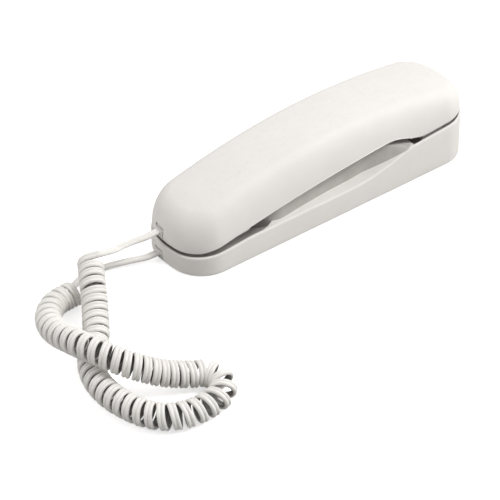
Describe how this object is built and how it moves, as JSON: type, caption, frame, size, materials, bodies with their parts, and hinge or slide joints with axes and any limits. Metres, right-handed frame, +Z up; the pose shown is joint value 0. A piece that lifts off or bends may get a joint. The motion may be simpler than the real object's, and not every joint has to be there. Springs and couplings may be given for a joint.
{
  "type": "slimline wall phone",
  "caption": "Slim arched handset lying face down on a wedge-shaped base, joined by a curly cord, with a keypad in the handset and keyholes for a wall plate.",
  "frame": {"origin": "under the middle of the base, level with the undersides of its feet", "axes": "+X along the phone from the cord end to the earpiece end, +Z up with the phone lying on its back, +Y to the side with the two slide switches"},
  "size_m": [0.3096, 0.1536, 0.0546],
  "materials": {
    "shell": "satin warm white",
    "inner_shell": "fine-grained warm white",
    "key": "satin light grey",
    "steel": "plain",
    "rubber": "matt",
    "circuit_board": "lacquered",
    "black_plastic": "moulded",
    "clear_plastic": "clear",
    "brass": "plain",
    "cord": "soft satin warm white"
  },
  "bodies": {
    "base": {"base_housing": "shell", "base_plate": "inner_shell", "base_screws": "steel", "rubber_feet": "rubber", "base_pcb": "circuit_board", "pcb_screws": "steel", "hook_spring": "steel", "hook_switch": "black_plastic", "wall_hook_clip": "shell", "base_cord_jack": "black_plastic", "base_cord_plug": "clear_plastic", "line_jack": "black_plastic", "sounder": "brass", "ringer_switch_body": "black_plastic", "tone_switch_body": "black_plastic", "handset_lead": "cord", "cord_curls": "cord", "base_lead": "cord"},
    "handset": {"handset_back": "shell", "handset_face": "inner_shell", "handset_screws": "steel", "handset_pcb": "circuit_board", "keypad_mat": "rubber", "receiver": "black_plastic", "receiver_gasket": "rubber", "microphone": "steel", "microphone_boot": "rubber", "handset_cord_jack": "black_plastic", "handset_cord_plug": "clear_plastic", "handset_weight": "steel"},
    "hook": {"hook_plunger": "inner_shell"},
    "ringer_switch": {"ringer_switch": "key"},
    "tone_switch": {"tone_switch": "key"},
    "key_1": {"key_1": "key"},
    "key_2": {"key_2": "key"},
    "key_3": {"key_3": "key"},
    "key_4": {"key_4": "key"},
    "key_5": {"key_5": "key"},
    "key_6": {"key_6": "key"},
    "key_7": {"key_7": "key"},
    "key_8": {"key_8": "key"},
    "key_9": {"key_9": "key"},
    "key_star": {"key_star": "key"},
    "key_0": {"key_0": "key"},
    "key_hash": {"key_hash": "key"},
    "key_flash": {"key_flash": "key"},
    "key_redial": {"key_redial": "key"},
    "key_mute": {"key_mute": "key"}
  },
  "joints": [
    {"name": "handset_lift", "type": "slide", "parent": "base", "child": "handset", "axis": [0, 0, 1], "range_m": [0, 0.045]},
    {"name": "hook_plunge", "type": "slide", "parent": "base", "child": "hook", "axis": [0, 0, 1], "range_m": [0, 0.003], "stiffness_N_per_m": 60, "springref_m": 0.008, "deforming": ["hook_spring"]},
    {"name": "ringer_slide", "type": "slide", "parent": "base", "child": "ringer_switch", "axis": [1, 0, 0], "range_m": [-0.002, 0.002]},
    {"name": "tone_slide", "type": "slide", "parent": "base", "child": "tone_switch", "axis": [1, 0, 0], "range_m": [0, 0.004]},
    {"name": "key_1_press", "type": "slide", "parent": "handset", "child": "key_1", "axis": [-0.1294, 0, 0.9916], "range_m": [0, 0.0012], "stiffness_N_per_m": 350, "springref_m": -0.0012},
    {"name": "key_2_press", "type": "slide", "parent": "handset", "child": "key_2", "axis": [-0.1294, 0, 0.9916], "range_m": [0, 0.0012], "stiffness_N_per_m": 350, "springref_m": -0.0012},
    {"name": "key_3_press", "type": "slide", "parent": "handset", "child": "key_3", "axis": [-0.1294, 0, 0.9916], "range_m": [0, 0.0012], "stiffness_N_per_m": 350, "springref_m": -0.0012},
    {"name": "key_4_press", "type": "slide", "parent": "handset", "child": "key_4", "axis": [-0.1294, 0, 0.9916], "range_m": [0, 0.0012], "stiffness_N_per_m": 350, "springref_m": -0.0012},
    {"name": "key_5_press", "type": "slide", "parent": "handset", "child": "key_5", "axis": [-0.1294, 0, 0.9916], "range_m": [0, 0.0012], "stiffness_N_per_m": 350, "springref_m": -0.0012},
    {"name": "key_6_press", "type": "slide", "parent": "handset", "child": "key_6", "axis": [-0.1294, 0, 0.9916], "range_m": [0, 0.0012], "stiffness_N_per_m": 350, "springref_m": -0.0012},
    {"name": "key_7_press", "type": "slide", "parent": "handset", "child": "key_7", "axis": [-0.1294, 0, 0.9916], "range_m": [0, 0.0012], "stiffness_N_per_m": 350, "springref_m": -0.0012},
    {"name": "key_8_press", "type": "slide", "parent": "handset", "child": "key_8", "axis": [-0.1294, 0, 0.9916], "range_m": [0, 0.0012], "stiffness_N_per_m": 350, "springref_m": -0.0012},
    {"name": "key_9_press", "type": "slide", "parent": "handset", "child": "key_9", "axis": [-0.1294, 0, 0.9916], "range_m": [0, 0.0012], "stiffness_N_per_m": 350, "springref_m": -0.0012},
    {"name": "key_star_press", "type": "slide", "parent": "handset", "child": "key_star", "axis": [-0.1294, 0, 0.9916], "range_m": [0, 0.0012], "stiffness_N_per_m": 350, "springref_m": -0.0012},
    {"name": "key_0_press", "type": "slide", "parent": "handset", "child": "key_0", "axis": [-0.1294, 0, 0.9916], "range_m": [0, 0.0012], "stiffness_N_per_m": 350, "springref_m": -0.0012},
    {"name": "key_hash_press", "type": "slide", "parent": "handset", "child": "key_hash", "axis": [-0.1294, 0, 0.9916], "range_m": [0, 0.0012], "stiffness_N_per_m": 350, "springref_m": -0.0012},
    {"name": "key_flash_press", "type": "slide", "parent": "handset", "child": "key_flash", "axis": [-0.1294, 0, 0.9916], "range_m": [0, 0.0012], "stiffness_N_per_m": 350, "springref_m": -0.0012},
    {"name": "key_redial_press", "type": "slide", "parent": "handset", "child": "key_redial", "axis": [-0.1294, 0, 0.9916], "range_m": [0, 0.0012], "stiffness_N_per_m": 350, "springref_m": -0.0012},
    {"name": "key_mute_press", "type": "slide", "parent": "handset", "child": "key_mute", "axis": [-0.1294, 0, 0.9916], "range_m": [0, 0.0012], "stiffness_N_per_m": 350, "springref_m": -0.0012}
  ],
  "couplings": [
    {"joint": "hook_plunge", "follows": "handset_lift", "ratio": 0.066667}
  ]
}
